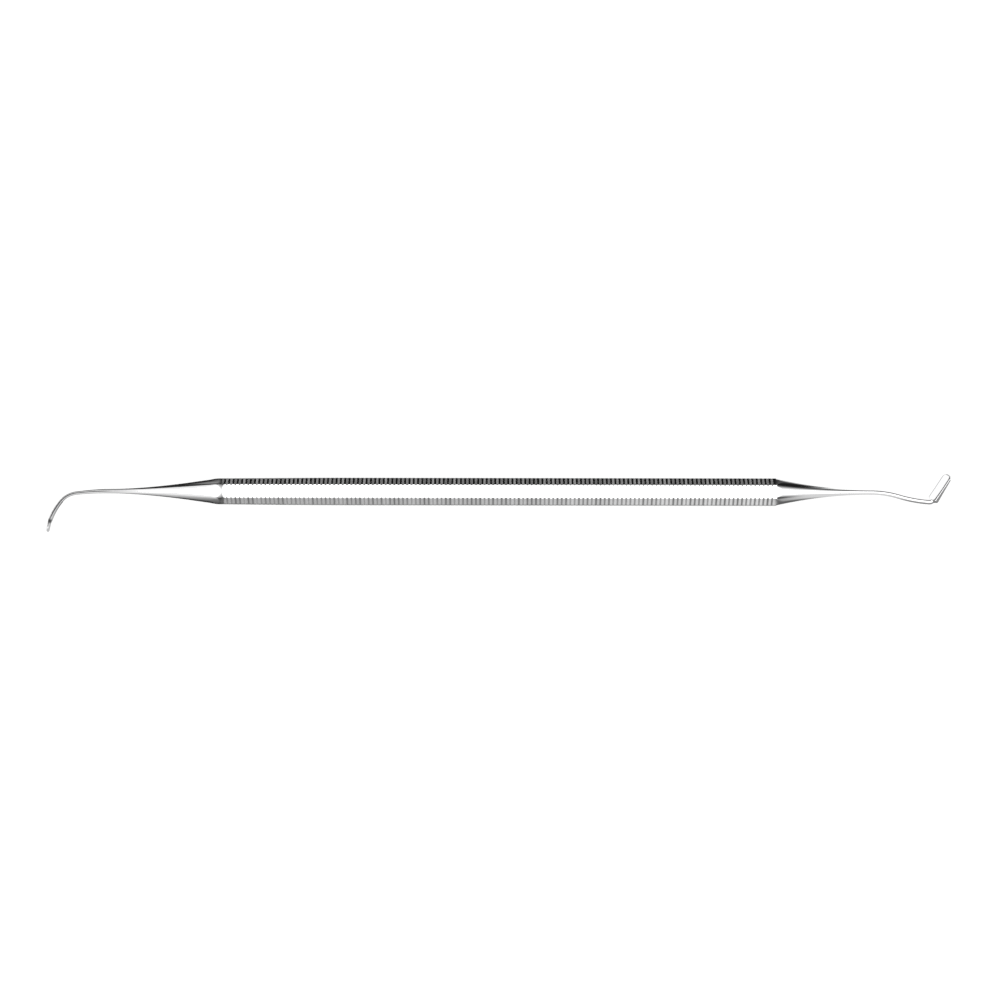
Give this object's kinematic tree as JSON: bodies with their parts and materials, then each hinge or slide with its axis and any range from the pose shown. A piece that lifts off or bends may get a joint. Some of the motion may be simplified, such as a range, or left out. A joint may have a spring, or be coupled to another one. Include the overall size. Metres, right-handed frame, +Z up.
{
  "type": "dental filling instrument",
  "caption": "Dental filling instrument: a cross-grooved hexagonal steel handle that tapers to a hooked blade at one end and to a bent, turned paddle at the other.",
  "frame": {"origin": "middle of the plain facet that the handle rests on", "axes": "+X along the handle towards the paddle end, +Y towards the side that the paddle turns up to, +Z up, away from the facet that it rests on"},
  "size_m": [0.1689, 0.011, 0.0045],
  "materials": {
    "polished_steel": "bright polished, with duller cross grooves on the side facets of the handle"
  },
  "bodies": {
    "root": {"filling_instrument": "polished_steel"}
  },
  "joints": []
}
